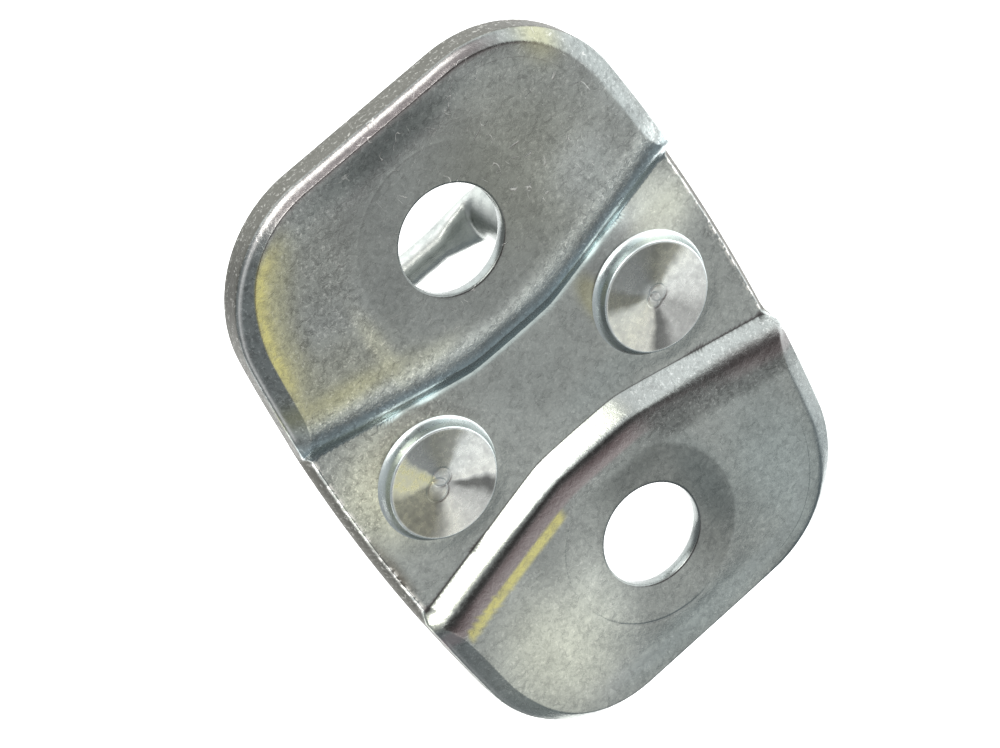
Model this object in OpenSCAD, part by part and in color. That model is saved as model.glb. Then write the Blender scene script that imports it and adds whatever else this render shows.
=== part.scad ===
// Striker with a pressed steel plate and a riveted loop.
// The origin is at the middle of the mounting plane, between the two screw holes.
// The plate stands upright: its mounting side faces -Y and the loop points to +Y.

/* [Plate] */
// Height of the plate, along Z
plate_h = 77.8; // [66:0.2:110]
// Width of the plate across its middle, along X
plate_w = 51.8; // [44:0.2:80]
// Radius of the plate's four corners
corner_r = 15; // [6:0.5:18]
// Radius of the slightly bowed long sides
side_r = 225; // [150:5:900]
// Thickness of the sheet
sheet_t = 2; // [1:0.1:3]
// How far the two pads stand above the channel between them
pad_rise = 2.7; // [1.5:0.1:4]
// Width of the sloped rim along the plate's outer edge
rim_w = 1.6; // [0.6:0.1:2.4]
// Depth of the sloped rim
rim_h = 1.25; // [0.6:0.05:2.6]
// Height of the trimmed edge round each pad
edge_h = 2.5; // [2:0.1:4]

/* [Channel] */
// Width of the channel's floor at its narrow waist
channel_waist = 14.2; // [9:0.2:22]
// Width of the channel's floor where it runs out at the plate's sides
channel_mouth = 24.8; // [18:0.2:34]
// Length of the waist's straight stretch
waist_len = 11; // [4:0.5:20]
// Outer radius of the bend at the top of each channel wall
crest_r = 4.1; // [3.2:0.1:5]
// Slope of the channel walls, in degrees
wall_slope = 45; // [30:1:55]

/* [Screw holes] */
// Width of each screw hole
screw_hole_d = 12; // [6:0.5:14]
// Distance between the screw holes
screw_pitch = 45.5; // [38:0.5:56]
// Width of the flat seat round each screw hole
seat_d = 21.6; // [16:0.2:24]
// How far the seats stand above the rest of the pads
seat_proud = 0.15; // [0.1:0.05:0.4]

/* [Striker bar] */
// Distance between the loop's two legs
leg_pitch = 30.5; // [24:0.5:36]
// Width of the legs
leg_d = 8.4; // [6:0.1:11]
// Width of the slim crossbar between the legs
crossbar_d = 3.9; // [3:0.1:6]
// Distance from the mounting plane to the crossbar's axis
loop_reach = 38.4; // [24:0.2:60]
// How far the legs' rounded ends stop below the crossbar's axis
leg_drop = 3.5; // [2:0.1:5]
// Distance from each leg's axis to where the crossbar begins to swell
swell_len = 8.2; // [5:0.1:11]

/* [Rivets] */
// Width of each leg's neck, where it passes through the plate
neck_d = 7; // [4:0.1:9]
// Gap between a neck and its hole, on the radius
neck_gap = 0.05; // [0.02:0.01:0.2]
// Width of each formed head
head_d = 12.8; // [9:0.1:16]
// Height of each head above the channel's floor
head_h = 1.75; // [1:0.05:2.6]
// Depth of the shallow cone pressed into each head
dish_depth = 1.1; // [0.2:0.05:1.6]

/* [Hidden] */
$fn = 96;
thin = 0.01;                    // thickness of the slices that a pad is hulled from
over = 1;                       // how far a cut runs past the face it opens
floor_y = pad_rise;             // mounting side of the channel's floor
front_y = pad_rise + sheet_t;   // loop side of the channel's floor
field_y = seat_proud;           // face of the pads round their seats
edge_y = field_y + rim_h + edge_h;  // foot of the pads' trimmed edge
// Run of a channel wall on the mounting side, from its crest to its foot
wall_run = crest_r * tan(wall_slope / 2) + (floor_y - field_y) / tan(wall_slope);
// Centres of the corner arcs, which meet the bowed sides without a kink
corner_z = plate_h / 2 - corner_r;
side_x = plate_w / 2 - side_r;
corner_x = side_x + sqrt(pow(side_r - corner_r, 2) - pow(corner_z, 2));
corner_a = asin(corner_z / (side_r - corner_r));
corner_steps = 10;
side_steps = 4;

// Points of an arc about (x, z), from angle a to angle b
function arc(x, z, r, a, b, steps) =
    [for (i = [0:steps]) let (t = a + (b - a) * i / steps) [x + r * cos(t), z + r * sin(t)]];

// The upper right quarter of the outline, moved inwards by inset
function quarter(inset) = concat(
    arc(side_x, 0, side_r - inset, 0, corner_a, side_steps),
    arc(corner_x, corner_z, corner_r - inset, corner_a, 90, corner_steps));

// The whole outline, mirrored from its quarter
function outline(inset) =
    let (q = quarter(inset), n = len(q) - 1)
    concat(q,
        [for (i = [n:-1:0]) [-q[i][0], q[i][1]]],
        [for (i = [1:n]) [-q[i][0], -q[i][1]]],
        [for (i = [n:-1:1]) [q[i][0], -q[i][1]]]);

// How far the outer surface is inside the outline at a depth below the pads' field
function rim_inset(depth) = rim_w * max(0, 1 - depth / rim_h);

// How far the wall's surface has run from its crest line at that depth, for a bend of radius r
function wall_reach(depth, r) =
    let (knee = r * (1 - cos(wall_slope)))
    depth < knee ? sqrt(r * r - pow(r - depth, 2))
                 : r * sin(wall_slope) + (depth - knee) / tan(wall_slope);

// Turns a plan drawn in X and Z, with its depth upwards, into the part's frame
module stand() { rotate([-90, 0, 0]) children(); }

// Plan of one pad: the outline beyond the channel's foot line, moved out by from_foot
module pad_plan(inset, from_foot) {
    waist = channel_waist / 2 + from_foot;
    mouth = channel_mouth / 2 + from_foot;
    intersection() {
        polygon(outline(inset));
        polygon([
            [-plate_w / 2, mouth], [-waist_len / 2, waist], [waist_len / 2, waist],
            [plate_w / 2, mouth], [plate_w / 2, plate_h], [-plate_w / 2, plate_h]]);
    }
}

// One slice of a pad's outer form, at a depth below the pads' field
module outer_slice(depth) {
    translate([0, 0, field_y + depth]) linear_extrude(thin)
        pad_plan(rim_inset(depth), wall_run - wall_reach(depth, crest_r));
}

// One slice of the hollow behind a pad, at a depth below the hollow's ceiling
module hollow_slice(depth, inset) {
    translate([0, 0, field_y + sheet_t + depth]) linear_extrude(thin)
        pad_plan(inset, wall_run - wall_reach(depth, crest_r - sheet_t));
}

// Outer form of the upper pad
module pad_form() {
    knee = crest_r * (1 - cos(wall_slope));
    foot = floor_y - field_y;
    hull() for (depth = [0, knee * 0.15, knee * 0.5, knee, foot]) outer_slice(depth);
}

// Hollow behind the upper pad, open to the loop side
module pad_hollow() {
    knee = (crest_r - sheet_t) * (1 - cos(wall_slope));
    inner_rim = sheet_t + rim_w / 2;
    hull() {
        hollow_slice(0, inner_rim);
        hollow_slice(knee, sheet_t);
        hollow_slice(front_y - field_y - sheet_t + over, sheet_t);
    }
}

// Skirt that carries a pad's outer edge down to the channel's own level
module pad_skirt() {
    translate([0, 0, floor_y]) linear_extrude(sheet_t) pad_plan(0, 0);
}

// What is trimmed off below a pad's edge, beyond the channel's wall
module pad_trim() {
    if (edge_y < front_y) translate([0, 0, edge_y])
        linear_extrude(front_y - edge_y + over) pad_plan(-over, sheet_t);
}

module screw_places() {
    for (side = [-1, 1]) translate([0, side * screw_pitch / 2, 0]) children();
}

module leg_places() {
    for (side = [-1, 1]) translate([side * leg_pitch / 2, 0, 0]) children();
}

// Pressed plate: two pads with a channel between them
module plate() {
    color("silver") stand() difference() {
        union() {
            translate([0, 0, floor_y]) linear_extrude(sheet_t) polygon(outline(0));
            for (side = [0, 1]) mirror([0, side, 0]) difference() {
                union() {
                    pad_form();
                    pad_skirt();
                }
                pad_hollow();
            }
            screw_places() cylinder(d = seat_d, h = sheet_t + seat_proud);
        }
        for (side = [0, 1]) mirror([0, side, 0]) difference() {
            pad_hollow();
            translate([0, screw_pitch / 2, 0]) cylinder(d = seat_d, h = sheet_t + seat_proud);
        }
        for (side = [0, 1]) mirror([0, side, 0]) pad_trim();
        screw_places() translate([0, 0, -over]) cylinder(d = screw_hole_d, h = front_y + 2 * over);
        leg_places() translate([0, 0, floor_y - over])
            cylinder(d = neck_d + 2 * neck_gap, h = sheet_t + 2 * over);
    }
}

// Leg with its neck and the head formed on the mounting side
module riveted_leg() {
    translate([0, 0, front_y]) cylinder(d = leg_d, h = loop_reach - leg_drop - front_y);
    translate([0, 0, floor_y]) cylinder(d = neck_d, h = sheet_t);
    translate([0, 0, floor_y - head_h]) difference() {
        cylinder(d = head_d, h = head_h);
        translate([0, 0, -thin]) cylinder(d1 = head_d - 1, d2 = 0, h = dish_depth);
    }
}

// Blend from the rounded end of the leg at +X to the slim crossbar
module corner_blend() {
    hull() {
        translate([leg_pitch / 2, 0, loop_reach - leg_drop]) sphere(d = leg_d, $fn = 32);
        translate([leg_pitch / 2 - swell_len, 0, loop_reach]) rotate([0, 90, 0])
            cylinder(d = crossbar_d, h = thin, center = true, $fn = 32);
    }
}

// Striker bar: one forged loop, riveted to the plate by its two ends
module striker_bar() {
    color("gainsboro") stand() {
        leg_places() riveted_leg();
        for (side = [0, 1]) mirror([side, 0, 0]) corner_blend();
        translate([0, 0, loop_reach]) rotate([0, 90, 0])
            cylinder(d = crossbar_d, h = leg_pitch - 2 * swell_len, center = true);
    }
}

plate();
striker_bar();
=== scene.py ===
import math

import bpy
import bmesh
import numpy as np
from mathutils import Matrix, Vector


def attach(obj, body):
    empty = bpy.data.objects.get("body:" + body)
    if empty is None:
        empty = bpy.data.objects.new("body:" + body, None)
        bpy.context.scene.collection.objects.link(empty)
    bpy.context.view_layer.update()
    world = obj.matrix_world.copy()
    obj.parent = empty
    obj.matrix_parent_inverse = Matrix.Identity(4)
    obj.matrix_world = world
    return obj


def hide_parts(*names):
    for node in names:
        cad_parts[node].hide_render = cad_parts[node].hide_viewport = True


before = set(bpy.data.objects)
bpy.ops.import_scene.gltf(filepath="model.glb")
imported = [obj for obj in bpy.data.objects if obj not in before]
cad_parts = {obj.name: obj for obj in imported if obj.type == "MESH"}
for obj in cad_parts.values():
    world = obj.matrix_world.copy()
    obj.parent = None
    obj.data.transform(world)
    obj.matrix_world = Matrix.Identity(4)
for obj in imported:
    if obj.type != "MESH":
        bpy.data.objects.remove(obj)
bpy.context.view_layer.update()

mm = 0.001

# The plate's sizes in millimetres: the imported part's, with the outline, the rim and the trimmed
# edge measured more finely. seatLevel is the seats' depth, and field that of the pads round them.
plate = {
    "height": 77.9, "width": 52.2, "cornerRadius": 15.1, "sideRadius": 213.0,
    "sheet": 2.0, "rise": 2.7, "field": 0.15,
    "rimDrop": 1.25, "rimEnd": 0.95, "rimSide": 2.1, "edgeHeight": 2.9,
    "waist": 7.1, "flareStart": 5.5, "flare": 0.262, "flareSoft": 1.3,
    "wallSlope": 45.0, "footRadius": 0.16, "fade": 0.85, "fadeSide": 1.5, "fadeLower": 0.5,
    "holeRadius": 6.0, "holePitch": 45.5, "holeEdge": 0.32, "seatRadius": 10.7,
    "seatLevel": 0.13, "ringDepth": 0.03, "ringWidth": 0.14, "dishDepth": 0.1,
    "bossHeight": 0.12, "bossX": 15.25, "bossInner": 6.9, "bossOuter": 9.2,
    "edgeStart": 0.3, "edgeRound": 0.25, "lip": 0.85, "columns": 264,
    "underInset": 0.12, "underRim": 0.8, "underSoft": 0.3, "underCrest": 1.4,
}


# Bend between two levels: floor, arc, sloped wall, arc, upper level. q is the distance from the
# foot line, and the wall's own line is y = low - q tan(slope).
def bendProfile(q, low, high, slope, footRadius, crestRadius):
    s = math.radians(slope)
    top = (low - high) / math.tan(s)
    tf, tc = footRadius * math.tan(s / 2), crestRadius * math.tan(s / 2)
    footArc = low - footRadius + np.sqrt(np.maximum(footRadius**2 - (q + tf) ** 2, 0))
    crestArc = high + crestRadius - np.sqrt(np.maximum(crestRadius**2 - (q - top - tc) ** 2, 0))
    y = low - q * math.tan(s)
    y = np.where(q < tf * math.cos(s), footArc, y)
    y = np.where(q > top - tc * math.cos(s), crestArc, y)
    return np.where(q < -tf, low, np.where(q > top + tc, high, y))


# Integral of tan(t) / t, as the first terms of its series
def tanSum(t):
    return t + t**3 / 9 + 2 * t**5 / 75 + 17 * t**7 / 2205


# A channel wall that eases into its pad: straight at the slope from the foot, and then its angle
# dies away as slope * exp(-(q - straight) / fade), which brings it to the level high
def easedProfile(q, low, high, slope, footRadius, fade):
    s = math.radians(slope)
    straight = (low - high - fade * tanSum(s)) / math.tan(s)
    angle = s * np.exp(-np.maximum(q - straight, 0) / fade)
    eased = high + fade * tanSum(angle)
    tf = footRadius * math.tan(s / 2)
    footArc = low - footRadius + np.sqrt(np.maximum(footRadius**2 - (q + tf) ** 2, 0))
    y = np.where(q < straight, low - q * math.tan(s), eased)
    y = np.where(q < tf * math.cos(s), footArc, y)
    return np.where(q < -tf, low, y)


# Distance inside the outline: side_r - |p - side centre|, corner_r - |p - corner centre|, or
# height / 2 - |z|, whichever stretch of the outline the point lies across from
def insetOf(x, z):
    p = plate
    ax, az = np.abs(x), np.abs(z)
    cz = p["height"] / 2 - p["cornerRadius"]
    sx = p["width"] / 2 - p["sideRadius"]
    cx = sx + math.sqrt((p["sideRadius"] - p["cornerRadius"]) ** 2 - cz**2)
    a0 = math.asin(cz / (p["sideRadius"] - p["cornerRadius"]))
    side = p["sideRadius"] - np.hypot(ax - sx, az)
    end = p["height"] / 2 - az
    corner = p["cornerRadius"] - np.hypot(ax - cx, az - cz)
    angle = np.arctan2(az - cz, ax - cx)
    inCorner = (angle > a0) & (angle < math.pi / 2)
    return np.where(inCorner, corner, np.where(az - cz > (ax - cx) * math.tan(a0), end, side))


# The upper half of the outline moved inwards by inset: side arc, corner arc, straight end,
# corner arc and side arc, from the +X side to the -X side, at even steps along its length
def halfOutline(inset, count):
    p = plate
    cz = p["height"] / 2 - p["cornerRadius"]
    sx = p["width"] / 2 - p["sideRadius"]
    cx = sx + math.sqrt((p["sideRadius"] - p["cornerRadius"]) ** 2 - cz**2)
    a0 = math.asin(cz / (p["sideRadius"] - p["cornerRadius"]))
    lengths = np.array([p["sideRadius"] * a0, p["cornerRadius"] * (math.pi / 2 - a0), cx])
    ends = np.concatenate([[0], np.cumsum(lengths)])
    s = np.linspace(0, 2 * ends[-1], count)
    folded = np.minimum(s, 2 * ends[-1] - s)
    sideAngle = np.clip(folded / lengths[0], 0, 1) * a0
    cornerAngle = a0 + np.clip((folded - ends[1]) / lengths[1], 0, 1) * (math.pi / 2 - a0)
    run = np.clip(folded - ends[2], 0, None)
    rs, rc = p["sideRadius"] - inset, p["cornerRadius"] - inset
    x = np.where(folded < ends[1], sx + rs * np.cos(sideAngle), cx + rc * np.cos(cornerAngle) - run)
    z = np.where(folded < ends[1], rs * np.sin(sideAngle), cz + rc * np.sin(cornerAngle))
    return np.where(s > ends[-1], -x, x), z


# Distance from the channel's foot line, across the wall: (|z| - foot(x)) cos(flare), where
# foot(x) = waist + flare * softramp(|x| - start)
def acrossWall(x, z):
    p = plate
    d = np.abs(x) - p["flareStart"]
    root = np.sqrt(d**2 + p["flareSoft"] ** 2)
    foot = p["waist"] + p["flare"] * (d + root) / 2
    slope = p["flare"] * (1 + d / root) / 2
    return (np.abs(z) - foot) / np.sqrt(1 + slope**2)


# Larger of two depths with a small soft corner of size soft between them
def softMax(a, b, soft):
    return (a + b + np.sqrt((a - b) ** 2 + soft**2)) / 2


def smooth(a, b, v):  # 0 at a, 1 at b, with level ends
    t = np.clip((v - a) / (b - a), 0, 1)
    return t * t * (3 - 2 * t)


def between(v, start, full, end, zero):  # 1 from full to end, 0 before start and past zero
    return smooth(start, full, v) * smooth(zero, end, v)


def bell(v, middle, width):
    return np.exp(-(((v - middle) / width) ** 2))


holeZ = plate["holePitch"] / 2


# Width of the sloped rim: narrow at the two ends and wider along the sides
def rimWidth(z):
    p = plate
    return p["rimEnd"] + (p["rimSide"] - p["rimEnd"]) * smooth(38.4, 27.0, np.abs(z))


# 1 where the outline runs past the channel, 0 past the pads
def besideChannel(x, z):
    return smooth(0.9, -0.7, acrossWall(x, z))


# Depth of the mounting side: the wall's bend or the rim's slope, whichever is deeper, then the
# seats, a fine ring line pressed round part of each seat, the pads a little dished outside it, and
# the sheet drawn up a little round each head. The rim's slope meets the pad more softly at +X.
def mountDepth(x, z):
    p = plate
    q, e = acrossWall(x, z), insetOf(x, z)
    fade = p["fade"] + (p["fadeSide"] - p["fade"]) * smooth(3.0, 18.0, np.abs(x))
    fade = fade + p["fadeLower"] * smooth(6.0, 18.0, x) * (z < 0)
    wall = easedProfile(q, p["rise"], p["field"], p["wallSlope"], p["footRadius"], fade)
    w = rimWidth(z)
    slope = p["rimDrop"] * (1 - e / w)
    soft = 0.06 + 0.2 * smooth(4, 14, x)
    rim = p["field"] + (slope + np.sqrt(slope**2 + soft**2)) / 2
    y = np.where(e < w + 1.5, np.maximum(wall, rim), wall)
    r = np.hypot(x, np.abs(z) - holeZ)
    seat = smooth(p["seatRadius"] + 2.4, p["seatRadius"] - 1.6, r)
    around = np.arctan2(np.abs(z) - holeZ, x)
    lowerRing = smooth(-0.1, 0.7, np.cos(around - 2.8))
    upperRing = 0.35 * smooth(0.2, 0.8, np.cos(around - 2.1))
    ring = p["ringDepth"] * np.where(z < 0, lowerRing, upperRing)
    ring = ring * bell(r, p["seatRadius"] + 0.05, p["ringWidth"]) * smooth(0.45, 0.2, y)
    dish = p["dishDepth"] * smooth(p["seatRadius"], 14.5, r) * smooth(0.75, 0.2, y) * smooth(1.2, 3.4, e - w)
    boss = -p["bossHeight"] * smooth(p["bossOuter"], p["bossInner"], np.hypot(np.abs(x) - p["bossX"], z))
    return y * (1 - seat) + p["seatLevel"] * seat + ring + dish + boss


# Foot of the trimmed edge: the loop side of the floor past the channel, and less deep past the
# pads, where the edge is as high as the sheet cut along its slope
def edgeFoot(x, z):
    p = plate
    pad = p["field"] + p["rimDrop"] + p["edgeHeight"]
    return p["rise"] + p["sheet"] + (pad - p["rise"] - p["sheet"]) * smooth(0.4, 3.2, acrossWall(x, z))


# Depth of the loop side: the same bends one sheet further in, meeting the trimmed edge's foot
def loopDepth(x, z):
    p = plate
    t, soft = p["sheet"], p["underSoft"]
    q = acrossWall(x, z) - t * math.tan(math.radians(p["wallSlope"] / 2))
    e = insetOf(x, z)
    low, high = p["rise"] + t, p["field"] + t
    wall = bendProfile(q, low, high, p["wallSlope"], t + 0.2, p["underCrest"])
    pad = p["field"] + p["rimDrop"] + p["edgeHeight"]
    slope = (pad - high) * (1 - (e - p["underInset"]) / (rimWidth(z) + p["underRim"]))
    rim = high + (slope + np.sqrt(slope**2 + soft**2)) / 2 - 0.011
    joined = softMax(wall, rim, soft) - soft / 2 * bell(wall, rim, soft)
    y = np.where(e < 4.5, joined, wall)
    return np.minimum(np.maximum(y, np.maximum(wall, rim - 0.05)), low)


# Places for count points along each ray, closer together where the surface bends: the share of
# points up to a place is the share of (1 + weight * bend) up to it
def spreadAlong(depth, start, end, count, weight):
    fine = 900
    s = np.linspace(0, 1, fine)
    x = start[0][:, None] + (end[0] - start[0])[:, None] * s
    z = start[1][:, None] + (end[1] - start[1])[:, None] * s
    length = np.hypot(end[0] - start[0], end[1] - start[1])[:, None]
    y = depth(x, z)
    bend = np.abs(np.gradient(np.gradient(y, axis=1), axis=1)) * (fine / length) ** 2
    kernel = np.hanning(23) / np.hanning(23).sum()
    bend = np.apply_along_axis(lambda row: np.convolve(row, kernel, mode="same"), 1, np.sqrt(bend))
    total = np.cumsum(1 + weight * np.minimum(bend, 2.5), axis=1)
    total = (total - total[:, :1]) / (total[:, -1:] - total[:, :1])
    rows = np.arange(len(total))[:, None] * 2.0
    where = np.interp((np.linspace(0, 1, count)[None] + rows).ravel(),
                      (total + rows).ravel(), np.tile(s, len(total)))
    return where.reshape(len(total), count)


# Quads between neighbouring rows and columns of a grid whose points are numbered row by row
def gridFaces(rows, cols, wrap=False):
    i = np.arange(rows - 1)[:, None]
    j = np.arange(cols if wrap else cols - 1)[None]
    k = (j + 1) % cols
    return np.stack([i * cols + j, i * cols + k, (i + 1) * cols + k, (i + 1) * cols + j], -1).reshape(-1, 4)


# Puts points (millimetres) and faces into a mesh object, with its doubles merged and its faces
# pointing outwards
def meshPiece(name, points, faces, weld=1e-6):
    mesh = bpy.data.meshes.new(name)
    mesh.from_pydata((np.asarray(points) * mm).tolist(), [], [list(f) for f in faces])
    work = bmesh.new()
    work.from_mesh(mesh)
    bmesh.ops.remove_doubles(work, verts=work.verts, dist=weld)
    bmesh.ops.dissolve_degenerate(work, edges=work.edges, dist=weld)
    bmesh.ops.recalc_face_normals(work, faces=work.faces)
    work.to_mesh(mesh)
    work.free()
    mesh.polygons.foreach_set("use_smooth", np.ones(len(mesh.polygons), bool))
    mesh.update()
    piece = bpy.data.objects.new(name, mesh)
    bpy.context.collection.objects.link(piece)
    return piece


def vertexPlaces(piece):
    flat = np.empty(len(piece.data.vertices) * 3)
    piece.data.vertices.foreach_get("co", flat)
    return flat.reshape(-1, 3) / mm


def addAttribute(piece, name, values):
    layer = piece.data.attributes.new(name, "FLOAT", "POINT")
    layer.data.foreach_set("value", np.asarray(values, np.float32))


# One half of the plate (half 1 above, -1 below) as rays from its screw hole: loop side inwards, up
# the hole's wall, then the mounting side outwards, and a strip round the trimmed edge
def plateHalf(half):
    p = plate
    n = p["columns"]
    outer = int(n * 0.7)
    inner = n - outer + 1
    rim = halfOutline(0.0, outer)
    lip = p["lip"] * besideChannel(*rim)  # the floor's edge is drawn in at its upper corner

    def boundary(inset):
        x, z = halfOutline(inset, outer)
        back = np.linspace(x[-1], x[0], inner + 1)[1:-1]
        return np.concatenate([x, back]), np.concatenate([z, back * 0])

    def startRing(bound, radius):
        angle = np.arctan2(bound[1] - holeZ, bound[0])
        return radius * np.cos(angle), holeZ + radius * np.sin(angle)

    def field(depth, inset, radius, count, weight):
        bound = boundary(inset)
        start = startRing(bound, radius)
        s = spreadAlong(lambda x, z: depth(x, z * half), start, bound, count, weight)
        x = start[0][:, None] + (bound[0] - start[0])[:, None] * s
        z = start[1][:, None] + (bound[1] - start[1])[:, None] * s
        return np.stack([x, depth(x, z * half), z], -1)

    top = field(mountDepth, p["edgeStart"] + lip, p["holeRadius"] + p["holeEdge"], 98, 3.0)
    under = field(loopDepth, p["underInset"], p["holeRadius"] + 0.5, 52, 2.0)
    # the hole's wall: it breaks out wider on the loop side and rolls over to the mounting side
    edge = p["holeEdge"]
    turn = np.radians([15, 30, 45, 60, 75])
    radius = p["holeRadius"] + np.concatenate([[0.36, 0.2, 0.06, 0.0, 0.0], edge * (1 - np.cos(turn))])
    depth = np.concatenate([[2.05, 1.8, 1.5, 1.3, 0.8], edge * (1 - np.sin(turn))])
    radius = radius[None]
    bound = boundary(p["edgeStart"] + lip)
    angle = np.arctan2(bound[1] - holeZ, bound[0])
    level = top[:, :1, 1] * smooth(0.7, 0.0, depth)[None]
    wall = np.stack([radius * np.cos(angle)[:, None], depth[None] + level,
                     holeZ + radius * np.sin(angle)[:, None]], -1)
    rays = np.concatenate([under[:, ::-1], wall, top], 1)
    # the trimmed edge: a rolled corner that carries the surface's own slope on, then down, as
    # points of a quadratic curve between the surface and the upright
    x0, z0 = halfOutline(p["edgeStart"] + lip, outer)
    xa, za = halfOutline(p["edgeStart"] + lip + 0.05, outer)
    y0 = mountDepth(x0, z0 * half)
    slope = np.clip((y0 - mountDepth(xa, za * half)) / 0.05, 0, 1.6)
    corner = y0 + slope * p["edgeStart"] * 0.8
    strip = []
    for t in np.linspace(0, 1, 7)[1:]:
        inset = lip + p["edgeStart"] * (1 - t) ** 2
        y = (1 - t) ** 2 * y0 + 2 * t * (1 - t) * corner + t * t * (corner + p["edgeRound"])
        strip.append((inset, y))
    bottom = edgeFoot(*rim)
    for t in np.linspace(0, 1, 7)[1:]:
        y = (1 - t) * (corner + p["edgeRound"]) + t * (bottom - p["underInset"])
        strip.append((lip * (1 - t) ** 1.5, y))
    for t in np.linspace(0, 1, 4)[1:-1]:
        strip.append((p["underInset"] * t * t, bottom - p["underInset"] * (1 - t) ** 2))
    rows = [rays[:outer, -1]]
    for inset, y in strip:
        x, z = halfOutline(inset, outer)
        rows.append(np.stack([x, y + x * 0, z], -1))
    rays[:outer, 0, 1] = bottom  # the loop side meets the edge at its foot
    rows.append(rays[:outer, 0])
    edgeGrid = np.stack(rows, 1)
    raysFaces = gridFaces(rays.shape[0], rays.shape[1])
    closing = np.arange(rays.shape[1] - 1)
    last = (rays.shape[0] - 1) * rays.shape[1]
    seam = np.stack([last + closing, closing, closing + 1, last + closing + 1], -1)
    edgeFaces = gridFaces(edgeGrid.shape[0], edgeGrid.shape[1]) + rays.shape[0] * rays.shape[1]
    points = np.concatenate([rays.reshape(-1, 3), edgeGrid.reshape(-1, 3)]) * np.array([1, 1, half])
    return points, np.concatenate([raysFaces, seam, edgeFaces])[:, ::half]


# Broad patches of painted reflection and shade, with some tone of the finish itself: middle x and z,
# half widths, and how much lighter and how much warmer the zinc is there
patches = [
    (-0.5, 36.3, 9.5, 1.9, -0.55, -0.3), (-13.0, 31.0, 6.0, 5.0, -0.1, 0.1),
    (-17.5, 19.0, 6.0, 4.0, 0.0, 0.35), (-12.6, 18.5, 1.1, 5.5, 0.34, 0.4),
    (-8.5, 13.6, 4.0, 1.3, 0.3, 0.3), (-19.0, 16.6, 5.0, 1.1, 0.25, 0.3),
    (0.0, 22.75, 11.5, 11.5, -0.14, 0.0), (10.0, 24.0, 9.0, 10.0, -0.08, 0.3),
    (12.0, 30.0, 5.0, 5.0, 0.05, 0.0), (23.4, 26.0, 1.6, 12.0, 0.15, -0.1),
    (19.5, 34.0, 2.0, 3.0, 0.2, 0.4), (15.5, 19.0, 4.0, 4.0, 0.35, -0.2),
    (17.0, -28.0, 7.0, 11.0, 0.03, -0.45), (0.0, -35.8, 13.0, 2.4, 0.08, -0.4),
    (-16.5, -26.5, 7.0, 9.0, 0.85, 0.4), (-8.6, -24.0, 3.0, 7.5, 0.6, 0.1),
    (8.3, -22.0, 2.4, 6.5, -0.2, -0.4), (2.0, -14.0, 6.0, 2.2, -0.12, -0.1),
    (-19.0, 3.0, 8.0, 7.0, 0.9, 0.8), (0.0, 1.5, 6.5, 5.0, -0.04, -0.05),
    (9.7, 4.2, 1.4, 3.2, 0.1, 1.3), (21.0, 7.5, 4.5, 4.5, 1.2, 0.4),
    (13.0, 9.5, 9.0, 2.0, 0.25, -0.25), (6.0, -5.0, 6.0, 2.5, -0.02, -0.2),
]

# Stripes of painted reflection and shade along the two channel walls, a white and a cream band and
# two darker streaks on the lower wall and a pale bluish band on the upper one: which half of the
# plate, the x where a stripe fades in and where it is full, its four distances up the wall from the
# foot (start, full, end and zero), and how much lighter and how much warmer the zinc is there
stripes = [
    (-1, 3, 8, -0.1, 0.15, 1.8, 2.6, 1.05, 0.0), (-1, 7, 4, -0.1, 0.15, 1.5, 1.9, 0.75, 0.4),
    (-1, 7, 3, 1.6, 1.9, 2.3, 2.8, -0.25, 0.0), (-1, 4, 9, 2.6, 3.4, 5.9, 7.0, -0.3, 0.0),
    (1, -90, -80, -0.1, 0.15, 2.2, 3.4, 0.95, -0.5),
]

# Painted glints, reflections painted as pale cyan spots at the foot of the upper wall: x and half width
glints = [(-15.3, 0.8), (-11.2, 1.1), (12.6, 1.0), (16.0, 1.2)]


# Yellow and violet tints of the finish. Yellow: inside the -X rim of the upper pad, a strip along
# the lower wall's crest, the upper crest and one corner. Violet: the upper rim and the lower crest.
def plateTints(x, z, q, e, inside):
    upper, lower = z > 0, z < 0
    leftTop = smooth(12, 17, -x) * smooth(17, 25, z)
    yellow = 0.95 * leftTop * bell(np.maximum(inside, 0), 0, 1.1)
    yellow = yellow * smooth(-0.15, 0.05, inside) * smooth(36.6, 33.5, z)
    yellow += 0.35 * leftTop * bell(inside, 1.5, 2.0) * smooth(0, 0.5, inside)
    yellow += 1.05 * between(q, 4.3, 4.6, 5.3, 5.9) * between(-x, 6.3, 7.6, 22.6, 23.4) * lower
    yellow += 0.3 * smooth(5, 18, -x) * bell(q, 6.3, 1.5) * upper
    yellow += 0.3 * bell(x, 19.5, 2.0) * bell(z, 34.5, 2.5)
    nearEnd = smooth(17, 12, np.abs(x)) * (z > 20)
    violet = 0.5 * smooth(0.7, -0.3, inside) * nearEnd * smooth(0.1, 0.3, e)
    violet += 0.8 * between(q, 2.4, 3.0, 4.2, 4.8) * smooth(8, 3, x) * lower
    violet += 0.4 * between(q, 1.0, 2.0, 3.8, 4.8) * smooth(14, 20, x) * lower
    return yellow, violet
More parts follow.
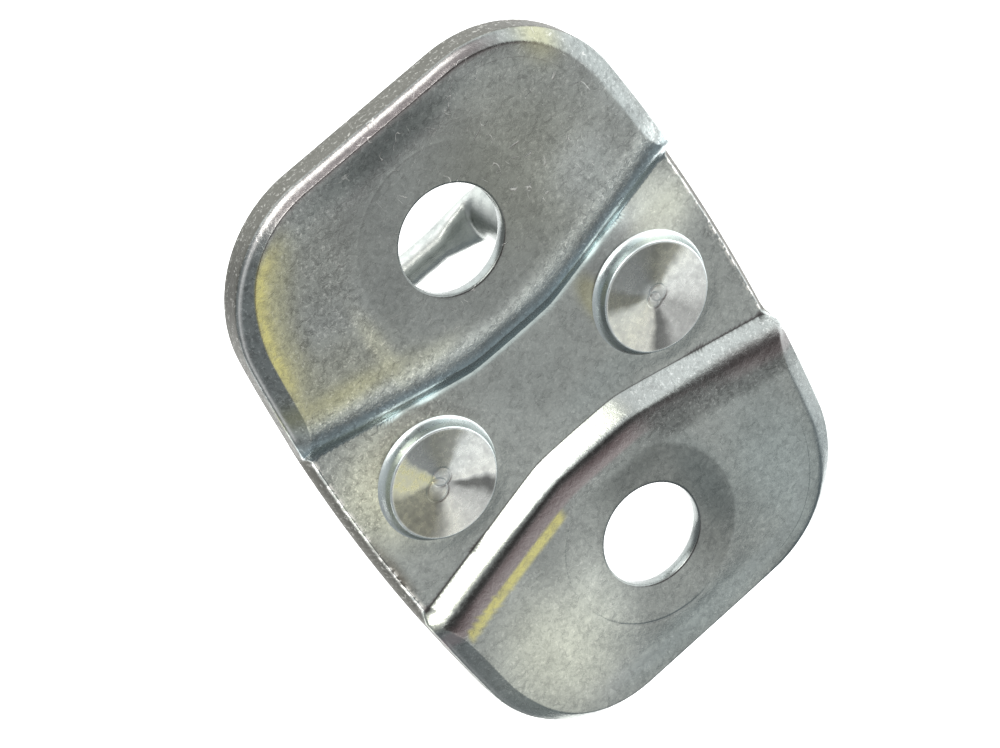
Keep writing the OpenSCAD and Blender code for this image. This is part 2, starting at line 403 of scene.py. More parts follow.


# How much lighter and how much warmer the zinc is, mostly painted reflection and shade: the patches,
# the stripes, a painted highlight along the upper crest, painted shade on the rim at the upper end
# and round the lower seat, and the upper seat a little darker. A patch is exp(-(distance / half width)^3).
def platePaintedLightAndTone(x, z, q, inside, r):
    light, warm = x * 0, x * 0
    for px, pz, wx, wz, lighter, warmer in patches:
        blob = np.exp(-(((x - px) / wx) ** 2 + ((z - pz) / wz) ** 2) ** 1.5)
        light += lighter * blob
        warm += warmer * blob
    for half, xZero, xFull, start, full, end, zero, lighter, warmer in stripes:
        stripe = smooth(xZero, xFull, x) * between(q, start, full, end, zero) * (np.sign(z) == half)
        light += lighter * stripe
        warm += warmer * stripe
    light += 0.75 * bell(q, 4.4, 1.1) * (z > 0)
    light -= 0.4 * smooth(0.4, -0.2, inside) * smooth(17, 12, np.abs(x)) * (z > 20)
    towards = np.cos(np.arctan2(np.abs(z) - holeZ, x) * np.sign(z) - 0.35)
    light -= 0.3 * smooth(10.9, 10.4, r) * smooth(-0.3, 0.4, towards) * smooth(5.5, 7.0, q) * (z < 0)
    light -= 0.08 * smooth(10.9, 10.3, r) * (z > 0)
    return light, warm


# How grainy the finish is: most on the -X side of the upper pad, on the walls and on the rim, and
# least on the lower wall's smooth band
def plateGrain(x, z, q, inside, r, onPad):
    upper, lower = z > 0, z < 0
    grainy = 0.42 + 0.58 * smooth(-6, -12, x) * smooth(10.5, 12.5, r) * upper
    grainy += 0.4 * between(q, -0.2, 0.3, 4.5, 6.5) + 0.3 * smooth(0.4, -0.3, inside)
    grainy += 0.3 * smooth(32.5, 34, z) * smooth(11, 8, np.abs(x)) + 0.25 * smooth(5, 14, x) * onPad * upper
    grainy += 0.5 * smooth(4, 9, x) * between(q, 2.6, 3.4, 6.2, 7.2) * lower
    return grainy * (1 - 0.6 * smooth(7, 4, x) * between(q, -0.1, 0.15, 1.5, 1.9) * lower)


def makePlate():
    points, faces = plateHalf(1)
    lowerPoints, lowerFaces = plateHalf(-1)
    piece = meshPiece("pressed_plate", np.concatenate([points, lowerPoints]),
                      np.concatenate([faces, lowerFaces + len(points)]), 4e-6)
    x, y, z = vertexPlaces(piece).T
    q, e = acrossWall(x, z), insetOf(x, z)
    r = np.hypot(x, np.abs(z) - holeZ)
    inside = e - rimWidth(z)
    upper, lower = z > 0, z < 0
    beside, lip = besideChannel(x, z), plate["lip"]
    facing = smooth(0.6, 0.2, y - mountDepth(x, z))  # 1 on the mounting side, 0 behind and on the cut
    yellow, violet = plateTints(x, z, q, e, inside)
    # light is mostly painted reflection and shade, warm a tint of the zinc
    light, warm = platePaintedLightAndTone(x, z, q, inside, r)
    grainy = plateGrain(x, z, q, inside, r, smooth(1.6, 0.8, y))
    # painted glints: reflections painted as pale cyan spots along the foot of the upper wall, with a fainter
    # painted line between them
    glintSpots = sum(bell(x, px, wide) for px, wide in glints) + 0.22 * smooth(20, 9, np.abs(x))
    glint = glintSpots * bell(q, -0.2, 0.26) * upper
    scratched = (0.25 + 0.75 * smooth(-8, 0, x)) * smooth(0, 3, z) * smooth(5.5, 7.5, q)
    # painted highlight: a bright line along the convex edge of the rim on the pads
    line = bell(e, 0.34, 0.13) * smooth(3.0, 4.2, q)
    line = line * (smooth(14, 9, x) * upper + 0.3 * smooth(-5, -10, x) * lower)
    cut = smooth(0.1, 0.0, e - lip * beside) * smooth(0.25, 0.5, y - mountDepth(x * 0.985, z * 0.985))
    wear = beside * smooth(2.4, 0.9, e) * (x < 0) * smooth(1, -3, z) * smooth(-11, -7, z)
    addAttribute(piece, "glint", np.clip(1.8 * glint * facing, 0, 1))
    addAttribute(piece, "grainy", np.clip(grainy, 0, 1.2))
    addAttribute(piece, "scratched", scratched * facing)
    addAttribute(piece, "highlightLine", line * facing)
    addAttribute(piece, "yellowTint", np.clip(yellow * facing, 0, 1.3))
    addAttribute(piece, "violetTint", np.clip(violet * facing, 0, 1.2))
    addAttribute(piece, "paintedLightAndTone", 1 + light * facing)
    addAttribute(piece, "warmth", warm * facing)
    addAttribute(piece, "cutEdge", cut)
    addAttribute(piece, "lipLine", beside * bell(e, lip + 0.08, 0.2) * smooth(3.4, 3.0, y))
    addAttribute(piece, "wear", wear * facing)
    return piece


# Sizes of the riveted loop in millimetres
bar = {
    "pitch": 30.5, "legRadius": 4.2, "crossRadius": 1.95, "reach": 38.4, "shoulder": 4.7,
    "bendStart": 6.5, "bendDrop": 5.2, "innerRound": 0.9, "neckRadius": 3.5, "around": 96,
}


# The loop's right half as round sections between an inner and an outer line in X and Y: the
# outer line is a quarter of an ellipse past bendStart, and the inner line turns a tight corner.
# A section's point is middle + half * (across cos a + Z sin a).
def loopHalf():
    b = bar
    legX = b["pitch"] / 2
    outX, inX = legX + b["legRadius"], legX - b["legRadius"]
    topY, lowY = b["reach"] + b["crossRadius"], b["reach"] - b["crossRadius"]
    cross = np.linspace(0, 1, 12)[:-1]
    sweep = np.linspace(0, 1, 56)
    down = np.linspace(0, 1, 26)[1:]
    a = sweep * math.pi / 2
    outerX = b["bendStart"] + (outX - b["bendStart"]) * np.sin(a)
    outerY = topY - b["bendDrop"] * (1 - np.cos(a))
    slide = smooth(0, 0.66, sweep)
    turn = np.clip((sweep - 0.5) / 0.5, 0, 1) * math.pi / 2
    ri = b["innerRound"]
    cornerX = b["bendStart"] + (inX - ri - b["bendStart"]) * slide
    innerX = cornerX + ri * np.sin(turn)
    innerY = lowY - ri * (1 - np.cos(turn))
    endIn, endOut = innerY[-1], outerY[-1]
    outer = np.concatenate([
        np.stack([cross * b["bendStart"], cross * 0 + topY], -1), np.stack([outerX, outerY], -1),
        np.stack([down * 0 + outX, endOut + (b["shoulder"] + 0.25 - endOut) * down], -1)])
    inner = np.concatenate([
        np.stack([cross * b["bendStart"], cross * 0 + lowY], -1), np.stack([innerX, innerY], -1),
        np.stack([down * 0 + inX, endIn + (b["shoulder"] + 0.25 - endIn) * down], -1)])
    # the shoulder's small chamfer, the neck and its hidden end
    ends = [(b["legRadius"] - 0.25, b["shoulder"]), (b["neckRadius"], b["shoulder"]),
            (b["neckRadius"], b["shoulder"] - 1.6), (0.01, b["shoulder"] - 1.6)]
    tail = np.array(ends)
    outer = np.concatenate([outer, np.stack([legX + tail[:, 0], tail[:, 1]], -1)])
    inner = np.concatenate([inner, np.stack([legX - tail[:, 0], tail[:, 1]], -1)])
    middle, half = (outer + inner) / 2, (outer - inner) / 2
    radius = np.hypot(half[:, 0], half[:, 1])
    angle = np.linspace(0, 2 * math.pi, b["around"], endpoint=False)
    x = middle[:, :1] + half[:, :1] * np.cos(angle)
    y = middle[:, 1:] + half[:, 1:] * np.cos(angle)
    z = radius[:, None] * np.sin(angle)
    return np.stack([x, y, z], -1)


def makeLoop():
    half = loopHalf()
    rows, cols = half.shape[:2]
    faces = gridFaces(rows, cols, wrap=True)
    cap = np.arange(cols) + (rows - 1) * cols
    points = half.reshape(-1, 3)
    both = np.concatenate([points, points * np.array([-1, 1, 1])])
    allFaces = [list(f) for f in faces] + [list(f) for f in faces[:, ::-1] + len(points)]
    allFaces += [cap.tolist(), (cap[::-1] + len(points)).tolist()]
    return meshPiece("striker_loop", both, allFaces, 1.5e-6)


# Sizes of a formed rivet head in millimetres, the two small rings its tool left (middle x, z,
# radius), and the light and dark sectors of its face, which are painted reflections: angle in
# degrees from +X towards +Z, how light, and how yellow
head = {
    "faceRadius": 6.4, "sideRadius": 6.62, "skirtRadius": 7.5, "top": 0.95, "sideEnd": 2.0,
    "foot": 2.7, "edge": 0.24, "dish": 0.6, "around": 216,
    "rings": {-1: ((-0.95, -0.35, 1.25), (0.2, 0.55, 1.05)), 1: ((-0.3, -0.4, 0.8), (0.45, 0.0, 0.95))},
    "reflectionSectors": {
        -1: ((-30, 1.5, 0.1), (5, 1.35, 0.0), (28, 1.3, 0.0), (42, 0.75, 0.1), (70, 0.62, 0.1),
             (90, 0.7, 0.0), (106, 0.75, 0.0), (118, 1.3, 0.8), (143, 1.35, 0.8), (158, 0.6, 0.2),
             (215, 0.5, 0.15), (232, 0.75, 0.1), (250, 1.45, 0.2), (275, 1.3, 0.05), (300, 1.05, 0.0),
             (312, 0.55, 0.0), (320, 0.5, 0.0), (328, 1.2, 0.0)),
        1: ((-60, 0.95, 0.0), (-35, 1.3, 0.0), (0, 1.35, 0.0), (20, 1.45, 0.1), (36, 0.7, 0.15),
            (60, 0.55, 0.1), (90, 0.65, 0.0), (128, 0.7, 0.0), (140, 0.5, 0.1), (152, 0.55, 0.1),
            (166, 1.2, 0.15), (200, 1.25, 0.25), (228, 1.2, 0.15), (240, 0.55, 0.0),
            (252, 0.6, 0.0), (268, 1.1, 0.0)),
    },
}


# A head as a turned profile: skirt, side, rolled edge and a cone down to the middle, with ring
# marks of depth 0.05 exp(-((d - radius) / 0.1)^2) pressed into the cone. The skirt's height over
# its rim falls as (distance left / its width)^2.6.
def makeHead(side, name):
    h = head
    turn = np.radians(np.linspace(0, 90, 9))
    edgeR = h["faceRadius"] - h["edge"] * (1 - np.sin(turn[::-1]))
    edgeY = h["top"] + h["edge"] * (1 - np.cos(turn[::-1]))
    part = np.linspace(0, 1, 26)
    skirtR = h["skirtRadius"] + (h["sideRadius"] - h["skirtRadius"]) * part
    skirtY = h["foot"] - 0.02 - (h["foot"] - 0.02 - h["sideEnd"]) * part**2.6
    sideR = h["sideRadius"] + (h["faceRadius"] - h["sideRadius"]) * np.linspace(0, 1, 7)[1:] ** 0.6
    sideY = h["sideEnd"] + (h["top"] + h["edge"] - h["sideEnd"]) * np.linspace(0, 1, 7)[1:]
    coneR = np.linspace(h["faceRadius"] - h["edge"], 0.02, 96)[1:]
    fall = h["dish"] * (1 - coneR / (h["faceRadius"] - h["edge"]))
    coneY = h["top"] + fall - 0.05 * smooth(1.2, 0.0, coneR)
    r = np.concatenate([[0.02, 3.2], skirtR, sideR, edgeR[1:], coneR])
    y = np.concatenate([[h["foot"] + 0.3, h["foot"] + 0.3], skirtY, sideY, edgeY[1:], coneY])
    angle = np.linspace(0, 2 * math.pi, h["around"], endpoint=False)
    x = r[:, None] * np.cos(angle)
    z = r[:, None] * np.sin(angle)
    depth = np.broadcast_to(y[:, None], x.shape).copy()
    isCone = (np.arange(len(r)) >= len(r) - len(coneR))[:, None]
    for cx, cz, ringRadius in h["rings"][side]:
        d = np.hypot(x - cx, z - cz)
        depth += isCone * 0.05 * np.exp(-(((d - ringRadius) / 0.11) ** 2))
    points = np.stack([x + side * bar["pitch"] / 2, depth, z], -1)
    rows, cols = points.shape[:2]
    faces = [list(f) for f in gridFaces(rows, cols, wrap=True)]
    faces += [list(range(cols)), (np.arange(cols) + (rows - 1) * cols).tolist()]
    piece = meshPiece(name, points.reshape(-1, 3), faces, 1e-7)
    # u runs round the head and v from the middle outwards, so that marks can follow its turning
    place = vertexPlaces(piece)
    loops = np.empty(len(piece.data.loops), np.int32)
    piece.data.loops.foreach_get("vertex_index", loops)
    dx, dz = place[:, 0] - side * bar["pitch"] / 2, place[:, 2]
    around = (np.arctan2(dz, dx) / (2 * math.pi)) % 1.0
    uv = np.stack([around[loops], np.hypot(dx, dz)[loops] / 8], -1)
    starts = np.empty(len(piece.data.polygons), np.int32)
    totals = np.empty(len(piece.data.polygons), np.int32)
    piece.data.polygons.foreach_get("loop_start", starts)
    piece.data.polygons.foreach_get("loop_total", totals)
    owner = np.repeat(np.arange(len(starts)), totals)
    high = np.zeros(len(starts))
    np.maximum.at(high, owner, uv[:, 0])
    uv[:, 0] += (high[owner] > 0.75) & (uv[:, 0] < 0.25)
    layer = piece.data.uv_layers.new(name="turning")
    layer.data.foreach_set("uv", uv.ravel().astype(np.float32))
    out = np.hypot(dx, dz)
    cone = smooth(h["faceRadius"] - 0.1, h["faceRadius"] - 0.4, out) * (place[:, 1] < 2.2)
    # painted reflections: the face's light and dark sectors, and their yellow
    stops = np.array(h["reflectionSectors"][side])
    wander = 2 * np.sin(out * 1.3 + side) + 0.8 * np.sin(out * 4.3 + 2)
    degrees = (np.degrees(np.arctan2(dz, dx)) + wander - stops[0, 0]) % 360 + stops[0, 0]
    ends = np.vstack([stops, stops[:1] + [[360, 0, 0]]])
    middle = smooth(0.6, 2.2, out)
    light = np.clip(1 + 1.45 * (np.interp(degrees, ends[:, 0], ends[:, 1]) - 1), 0.35, 1.9)
    yellow = np.interp(degrees, ends[:, 0], ends[:, 2])
    # painted highlight on the side and the skirt: white over the upper part, soft and bluish round the rest
    crown = smooth(-0.25, 0.45, np.cos(np.arctan2(dz, dx) - 1.05))
    paintedBrimHighlight = (1 - cone) * (0.3 + 0.5 * crown) * smooth(h["skirtRadius"], 6.95, out)
    addAttribute(piece, "paintedBrimHighlight", paintedBrimHighlight)
    addAttribute(piece, "cone", cone)
    addAttribute(piece, "paintedSectorLight", 1 + (light - 1) * cone * middle)
    addAttribute(piece, "sectorYellow", yellow * cone * smooth(0.2, 1.5, out))
    return piece


def nodeIn(tree, kind, x=0, y=0, **values):
    node = tree.nodes.new(kind)
    node.location = (x, y)
    for key, value in values.items():
        setattr(node, key, value)
    return node


def mathNode(tree, operation, a, b=None, clamp=False):
    node = nodeIn(tree, "ShaderNodeMath", operation=operation, use_clamp=clamp)
    for socket, value in zip(node.inputs, (a, b)):
        if value is None:
            continue
        if isinstance(value, (int, float)):
            socket.default_value = value
        else:
            tree.links.new(value, socket)
    return node.outputs[0]


def multiplied(tree, a, b, clamp=False):
    return mathNode(tree, "MULTIPLY", a, b, clamp)


def mixColours(tree, factor, a, b, blend="MIX"):
    node = nodeIn(tree, "ShaderNodeMix", data_type="RGBA", blend_type=blend)
    for socket, value in ((node.inputs[0], factor), (node.inputs[6], a), (node.inputs[7], b)):
        if isinstance(value, (int, float)):
            socket.default_value = value
        elif isinstance(value, tuple):
            socket.default_value = (*value, 1.0)
        else:
            tree.links.new(value, socket)
    return node.outputs[2]


def noiseOf(tree, vector, scale, detail=2.0, rough=0.5, distort=0.0):
    node = nodeIn(tree, "ShaderNodeTexNoise")
    tree.links.new(vector, node.inputs["Vector"])
    node.inputs["Scale"].default_value = scale
    node.inputs["Detail"].default_value = detail
    node.inputs["Roughness"].default_value = rough
    node.inputs["Distortion"].default_value = distort
    return node.outputs["Fac"]


def rangeOf(tree, value, low, high, outLow=0.0, outHigh=1.0):
    node = nodeIn(tree, "ShaderNodeMapRange")
    tree.links.new(value, node.inputs["Value"])
    for key, number in (("From Min", low), ("From Max", high), ("To Min", outLow), ("To Max", outHigh)):
        node.inputs[key].default_value = number
    return node.outputs["Result"]


def turned(tree, vector, angle, scale):
    node = nodeIn(tree, "ShaderNodeMapping")
    tree.links.new(vector, node.inputs["Vector"])
    node.vector_type = "TEXTURE"  # turns the vector first and then stretches it
    node.inputs["Rotation"].default_value = (0, math.radians(angle), 0)
    node.inputs["Scale"].default_value = scale
    return node.outputs["Vector"]


def attributeOf(tree, name):
    return nodeIn(tree, "ShaderNodeAttribute", attribute_name=name).outputs["Fac"]


# The colour times a grey of the given value
def shaded(tree, colour, value):
    grey = nodeIn(tree, "ShaderNodeCombineColor")
    for socket in grey.inputs[:3]:
        tree.links.new(value, socket)
    return mixColours(tree, 1.0, colour, grey.outputs[0], "MULTIPLY")


# The colour times a tint, as far as factor goes
def tinted(tree, colour, factor, tint):
    return mixColours(tree, factor, colour, mixColours(tree, 1.0, colour, tint, "MULTIPLY"))


# Short curved scratches: lines where a soft noise crosses its middle value, each set kept to
# patches of another noise. The line is 1 - |noise - 0.5| / width.
def hairlines(tree, vector, sets, width, low):
    total = None
    for index, scale in enumerate(sets):
        moved = turned(tree, vector, 37.0 * index + 11, (1.0, 1.0, 1.0 + 0.35 * (index % 2)))
        soft = noiseOf(tree, moved, scale, 1.5, 0.45, 0.6)
        away = mathNode(tree, "ABSOLUTE", mathNode(tree, "SUBTRACT", soft, 0.5))
        patch = noiseOf(tree, moved, scale * 1.35 + 70, 1.0, 0.5)
        line = rangeOf(tree, away, width, width * 0.2)
        line = multiplied(tree, line, rangeOf(tree, patch, low, low + 0.06))
        total = line if total is None else mathNode(tree, "MAXIMUM", total, line)
    return total


# Colours of the zinc in linear light, with those of the painted glints and the painted highlight line, its
# roughness, and how strong its grain is
zinc = {
    "body": (0.27, 0.29, 0.284), "dull": (0.15, 0.16, 0.158), "pale": (0.5, 0.52, 0.51),
    "warm": (1.1, 1.04, 0.8), "cool": (0.88, 1.0, 1.06), "yellow": (0.58, 0.55, 0.24),
    "violet": (0.35, 0.3, 0.305), "cut": (0.11, 0.108, 0.095), "cutGlint": (0.36, 0.355, 0.33),
    "scratch": (0.75, 0.75, 0.73), "glint": (0.84, 1.0, 1.0), "highlightLine": (1.0, 0.98, 0.95),
    "wear": (0.12, 0.1, 0.075), "burr": (0.95, 0.93, 0.88), "roughness": 0.2, "grain": 0.2,
}


# Zinc on sheet. Colour = body mixed towards dull and pale by two noises, times lightness and a
# cloud noise, times warm or cool by warmth, then mixed towards the tints, scratches, glints, bright
# line, wear, cut and burr by their attributes. Roughness = base + mottle + cut. Height = grain *
# (speck + mottle) - scratches + pits on the cut. The glints, the bright line and much of the
# lightness are reflections painted into the colour, and not made by the lights.
def plateZinc():
    material = bpy.data.materials.new("plate_zinc_look")
    material.use_nodes = True
    tree = material.node_tree
    tree.nodes.clear()
    out = nodeIn(tree, "ShaderNodeOutputMaterial", 900)
    shader = nodeIn(tree, "ShaderNodeBsdfPrincipled", 600)
    tree.links.new(shader.outputs[0], out.inputs["Surface"])
    shader.inputs["Metallic"].default_value = 1.0
    where = nodeIn(tree, "ShaderNodeTexCoord", -1600).outputs["Object"]
    speck = noiseOf(tree, where, 2600, 3.0, 0.75, 0.5)
    mottle = noiseOf(tree, where, 1250, 4.0, 0.7, 0.8)
    cloud = noiseOf(tree, where, 120, 5.0, 0.6, 0.4)
    cut = attributeOf(tree, "cutEdge")
    grainy = attributeOf(tree, "grainy")
    dull = multiplied(tree, rangeOf(tree, mottle, 0.46, 0.66, 0.0, 0.75), grainy, True)
    pale = multiplied(tree, rangeOf(tree, speck, 0.54, 0.7, 0.0, 0.75), grainy, True)
    colour = mixColours(tree, dull, zinc["body"], zinc["dull"])
    colour = mixColours(tree, pale, colour, zinc["pale"])
    clouds = rangeOf(tree, cloud, 0.3, 0.7, 0.86, 1.14)
    colour = shaded(tree, colour, multiplied(tree, attributeOf(tree, "paintedLightAndTone"), clouds))
    warmth = attributeOf(tree, "warmth")
    colour = tinted(tree, colour, rangeOf(tree, warmth, 0.0, 1.0), zinc["warm"])
    colour = tinted(tree, colour, rangeOf(tree, warmth, 0.0, -1.0), zinc["cool"])
    violetTint = multiplied(tree, attributeOf(tree, "violetTint"), 0.9, True)
    colour = mixColours(tree, violetTint, colour, zinc["violet"])
    worn = rangeOf(tree, mottle, 0.4, 0.64, 1.0, 0.7)
    yellowTint = multiplied(tree, attributeOf(tree, "yellowTint"), worn, True)
    colour = mixColours(tree, yellowTint, colour, zinc["yellow"])
    lines = hairlines(tree, where, (300, 240, 380), 0.006, 0.585)
    lines = multiplied(tree, lines, attributeOf(tree, "scratched"))
    colour = mixColours(tree, multiplied(tree, lines, 0.5), colour, zinc["scratch"])
    colour = mixColours(tree, attributeOf(tree, "glint"), colour, zinc["glint"])
    broken = rangeOf(tree, speck, 0.3, 0.5, 0.6, 1.0)
    highlightLine = multiplied(tree, attributeOf(tree, "highlightLine"), broken, True)
    colour = mixColours(tree, highlightLine, colour, zinc["highlightLine"])
    wear = multiplied(tree, attributeOf(tree, "wear"), rangeOf(tree, cloud, 0.4, 0.6), True)
    colour = mixColours(tree, multiplied(tree, wear, 0.75), colour, zinc["wear"])
    pits = rangeOf(tree, noiseOf(tree, where, 1900, 3.0, 0.8), 0.56, 0.66)
    cutColour = mixColours(tree, pits, zinc["cut"], zinc["cutGlint"])
    colour = mixColours(tree, cut, colour, cutColour)
    jagged = rangeOf(tree, noiseOf(tree, where, 900, 3.0, 0.7), 0.5, 0.56)
    burr = multiplied(tree, attributeOf(tree, "lipLine"), jagged, True)
    colour = mixColours(tree, burr, colour, zinc["burr"])
    tree.links.new(colour, shader.inputs["Base Color"])
    rough = rangeOf(tree, mottle, 0.35, 0.7, zinc["roughness"] - 0.03, zinc["roughness"] + 0.1)
    rough = mathNode(tree, "ADD", rough, multiplied(tree, cut, 0.25))
    tree.links.new(rough, shader.inputs["Roughness"])
    height = mathNode(tree, "ADD", multiplied(tree, speck, 0.45), mottle)
    height = multiplied(tree, height, rangeOf(tree, grainy, 0.3, 1.0, 0.4, 1.0))
    height = mathNode(tree, "SUBTRACT", height, multiplied(tree, lines, 0.5))
    height = mathNode(tree, "ADD", height, multiplied(tree, multiplied(tree, pits, cut), 2.5))
    bump = nodeIn(tree, "ShaderNodeBump", 300)
    bump.inputs["Strength"].default_value = zinc["grain"]
    bump.inputs["Distance"].default_value = 0.0002
    tree.links.new(height, bump.inputs["Height"])
    tree.links.new(bump.outputs[0], shader.inputs["Normal"])
    return material


# Zinc on the forged bar: smoother, with a fine mottle
def barZinc():
    material = bpy.data.materials.new("bar_zinc_look")
    material.use_nodes = True
    tree = material.node_tree
    shader = tree.nodes["Principled BSDF"]
    shader.inputs["Metallic"].default_value = 1.0
    where = nodeIn(tree, "ShaderNodeTexCoord", -1600).outputs["Object"]
    mottle = noiseOf(tree, where, 700, 4.0, 0.6)
    speck = noiseOf(tree, where, 3000, 2.0, 0.6)
    colour = mixColours(tree, rangeOf(tree, mottle, 0.4, 0.7), (0.42, 0.44, 0.42), (0.3, 0.32, 0.31))
    colour = mixColours(tree, rangeOf(tree, speck, 0.58, 0.75, 0.0, 0.6), colour, (0.55, 0.56, 0.53))
    tree.links.new(colour, shader.inputs["Base Color"])
    tree.links.new(rangeOf(tree, mottle, 0.35, 0.7, 0.3, 0.42), shader.inputs["Roughness"])
    bump = nodeIn(tree, "ShaderNodeBump", 300)
    bump.inputs["Strength"].default_value = 0.1
    bump.inputs["Distance"].default_value = 0.0002
    tree.links.new(mathNode(tree, "ADD", speck, mottle), bump.inputs["Height"])
    tree.links.new(bump.outputs[0], shader.inputs["Normal"])
    return material


# Colours of the zinc on the formed heads, and of the painted highlight on their side and skirt
headZincs = {
    "body": (0.56, 0.585, 0.575), "dull": (0.44, 0.455, 0.45), "pale": (0.68, 0.7, 0.68),
    "yellow": (0.72, 0.68, 0.36), "paintedBrimHighlight": (0.92, 1.0, 1.0),
}


# Zinc on a formed head. Colour = body mixed towards dull and pale by two noises, times its
# sector's light, then towards yellow in some sectors and towards white by brim. Height = turning
# rings on the cone + speck. The sectors and the brim are reflections painted into the colour.
def headZinc(name):
    material = bpy.data.materials.new(name)
    material.use_nodes = True
    tree = material.node_tree
    shader = tree.nodes["Principled BSDF"]
    shader.inputs["Metallic"].default_value = 1.0
    shader.inputs["Anisotropic"].default_value = 0.4
    where = nodeIn(tree, "ShaderNodeTexCoord", -1600)
    uv = nodeIn(tree, "ShaderNodeSeparateXYZ", -1400)
    tree.links.new(where.outputs["UV"], uv.inputs[0])
    mottle = noiseOf(tree, where.outputs["Object"], 1300, 4.0, 0.7)
    speck = noiseOf(tree, where.outputs["Object"], 2800, 3.0, 0.75)
    colour = mixColours(tree, rangeOf(tree, mottle, 0.46, 0.68, 0.0, 0.8), headZincs["body"],
                        headZincs["dull"])
    colour = mixColours(tree, rangeOf(tree, speck, 0.56, 0.72, 0.0, 0.6), colour, headZincs["pale"])
    colour = shaded(tree, colour, attributeOf(tree, "paintedSectorLight"))
    worn = rangeOf(tree, mottle, 0.4, 0.64, 1.0, 0.6)
    yellowTint = multiplied(tree, attributeOf(tree, "sectorYellow"), worn, True)
    colour = mixColours(tree, yellowTint, colour, headZincs["yellow"])
    colour = mixColours(tree, attributeOf(tree, "paintedBrimHighlight"), colour, headZincs["paintedBrimHighlight"])
    tree.links.new(colour, shader.inputs["Base Color"])
    tree.links.new(rangeOf(tree, mottle, 0.35, 0.7, 0.24, 0.36), shader.inputs["Roughness"])
    ringsIn = nodeIn(tree, "ShaderNodeCombineXYZ")
    tree.links.new(uv.outputs[1], ringsIn.inputs[1])
    rings = noiseOf(tree, ringsIn.outputs[0], 200, 2.0, 0.7)
    rings = multiplied(tree, rings, attributeOf(tree, "cone"))
    height = mathNode(tree, "ADD", multiplied(tree, rings, 0.6), multiplied(tree, speck, 0.6))
    bump = nodeIn(tree, "ShaderNodeBump", 300)
    bump.inputs["Strength"].default_value = 0.12
    bump.inputs["Distance"].default_value = 0.0002
    tree.links.new(height, bump.inputs["Height"])
    tree.links.new(bump.outputs[0], shader.inputs["Normal"])
    tangent = nodeIn(tree, "ShaderNodeTangent", 300, -200, direction_type="UV_MAP", uv_map="turning")
    tree.links.new(tangent.outputs[0], shader.inputs["Tangent"])
    return material


plateMesh = makePlate()
plateMesh.data.materials.append(plateZinc())
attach(plateMesh, "root")
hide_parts("plate")
print("plate", len(plateMesh.data.polygons), "faces")

loopMesh = makeLoop()
loopMesh.data.materials.append(barZinc())
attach(loopMesh, "root")
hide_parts("striker_bar")
print("loop", len(loopMesh.data.polygons), "faces")

for side, name in ((-1, "left_rivet_head"), (1, "right_rivet_head")):
    headMesh = makeHead(side, name)
    headMesh.data.materials.append(headZinc(name + "_look"))
    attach(headMesh, "root")
    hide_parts("striker_bar")
    print(name, len(headMesh.data.polygons), "faces")

# Studio: a pale floor below and behind the part, one soft key light, and a surround whose light
# changes softly with height. Heights are angles in degrees, from straight down (-90) through the
# front (0) and straight up (90) to the back (180), each with its red, green and blue light.
studio = {
    "floorZ": -0.32, "lens": 121.4, "brightest": 3.0,
    "left": (0.15, 0.158, 0.163), "right": (0.62, 0.63, 0.63),
}
surround = (
    (-180, 1.8, 1.8, 1.8), (-140, 0.9, 0.95, 0.95), (-95, 0.36, 0.4, 0.42), (-50, 0.3, 0.34, 0.37),
    (-44, 0.4, 0.43, 0.45), (-41.5, 1.45, 1.42, 1.33), (-38.5, 1.5, 1.47, 1.38), (-36.5, 1.2, 1.2, 1.17),
    (-33.5, 1.06, 1.06, 1.04), (-24, 0.9, 0.9, 0.89), (-20, 0.5, 0.45, 0.45), (-12, 0.38, 0.33, 0.33),
    (-6, 0.14, 0.12, 0.12), (16, 0.1, 0.09, 0.09), (23, 0.8, 0.8, 0.78), (40, 0.95, 0.95, 0.95),
    (58, 0.85, 0.85, 0.85), (70, 0.75, 0.72, 0.72), (82, 1.0, 1.0, 1.0), (90, 3.0, 3.0, 3.0),
    (112, 3.0, 3.0, 3.0), (135, 2.4, 2.5, 2.5), (180, 1.8, 1.8, 1.8),
)


def makeSurround():
    world = bpy.data.worlds.new("studio")
    world.use_nodes = True
    tree = world.node_tree
    shader = tree.nodes["Background"]
    axes = nodeIn(tree, "ShaderNodeSeparateXYZ")
    tree.links.new(nodeIn(tree, "ShaderNodeTexCoord").outputs["Generated"], axes.inputs[0])
    turn = mathNode(tree, "ARCTAN2", axes.outputs[2], mathNode(tree, "MULTIPLY", axes.outputs[1], -1.0))
    ramp = nodeIn(tree, "ShaderNodeValToRGB")
    tree.links.new(rangeOf(tree, turn, -math.pi, math.pi), ramp.inputs[0])
    stops = ramp.color_ramp.elements
    while len(stops) < len(surround):
        stops.new(0.5)
    for stop, (height, red, green, blue) in zip(stops, surround):
        stop.position = (height + 180) / 360
        stop.color = (red / studio["brightest"], green / studio["brightest"], blue / studio["brightest"], 1)
    colour = mixColours(tree, rangeOf(tree, axes.outputs[0], -0.35, -0.62), ramp.outputs[0], studio["left"])
    colour = mixColours(tree, rangeOf(tree, axes.outputs[0], 0.55, 0.75), colour, studio["right"])
    tree.links.new(colour, shader.inputs[0])
    shader.inputs[1].default_value = studio["brightest"]
    bpy.context.scene.world = world


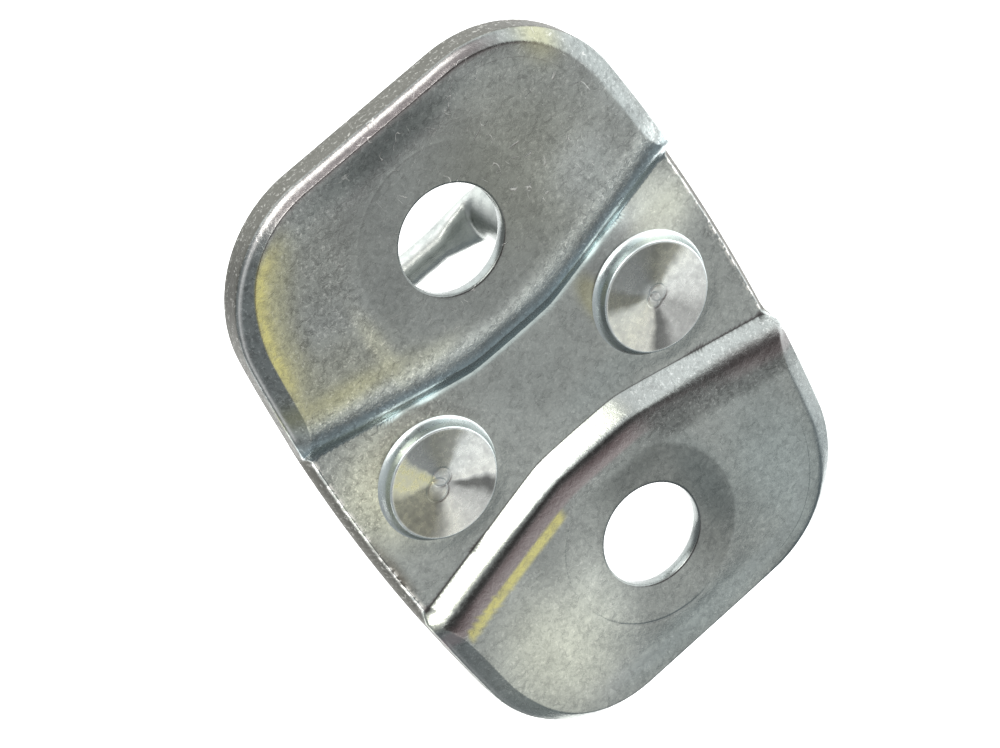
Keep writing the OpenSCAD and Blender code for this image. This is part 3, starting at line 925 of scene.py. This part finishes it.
def areaLight(name, direction, distance, size, radiance, colour=(1, 1, 1)):
    light = bpy.data.lights.new(name, "AREA")
    light.shape = "RECTANGLE"
    light.size, light.size_y = size
    light.energy = radiance * math.pi * size[0] * size[1]
    light.color = colour
    piece = bpy.data.objects.new(name, light)
    aim = Vector(direction).normalized()
    piece.location = aim * distance
    piece.rotation_mode = "QUATERNION"
    piece.rotation_quaternion = aim.to_track_quat("Z", "Y")
    piece.visible_camera = False
    bpy.context.collection.objects.link(piece)
    return piece


makeSurround()

floorMesh = bpy.data.meshes.new("floor")
floorMesh.from_pydata([(-4, 0.06, 0), (4, 0.06, 0), (4, 6, 0), (-4, 6, 0)], [], [(0, 1, 2, 3)])
floor = bpy.data.objects.new("floor", floorMesh)
floor.location = (0, 0, studio["floorZ"])
floorLook = bpy.data.materials.new("pale_floor")
floorLook.use_nodes = True
floorShader = floorLook.node_tree.nodes["Principled BSDF"]
floorShader.inputs["Base Color"].default_value = (0.9, 0.9, 0.9, 1)
floorShader.inputs["Roughness"].default_value = 0.9
floorShader.inputs["Emission Color"].default_value = (1, 1, 1, 1)
floorShader.inputs["Emission Strength"].default_value = 0.6
floorMesh.materials.append(floorLook)
bpy.context.collection.objects.link(floor)

areaLight("key", (-0.08, -0.56, 0.81), 0.9, (0.5, 0.42), 4.5, (1.0, 0.985, 0.94))

# The camera looks down at the mounting side from the upper left, and is turned about its axis
cameraPlace = Vector((-63.96, -289.09, 200.02)) * mm
azimuth, elevation, roll = math.radians(-11.744), math.radians(33.24), math.radians(-34.658)
level = math.cos(elevation)
backwards = Vector((math.sin(azimuth) * level, -math.cos(azimuth) * level, math.sin(elevation)))
upright = backwards.to_track_quat("Z", "Y").to_matrix()
cameraData = bpy.data.cameras.new("camera")
cameraData.lens = studio["lens"]
cameraData.sensor_width = 36
cameraData.clip_start = 0.01
camera = bpy.data.objects.new("camera", cameraData)
camera.matrix_world = Matrix.Translation(cameraPlace) @ (upright @ Matrix.Rotation(roll, 3, "Z")).to_4x4()
bpy.context.collection.objects.link(camera)
bpy.context.scene.camera = camera
bpy.context.scene.view_settings.view_transform = "Standard"
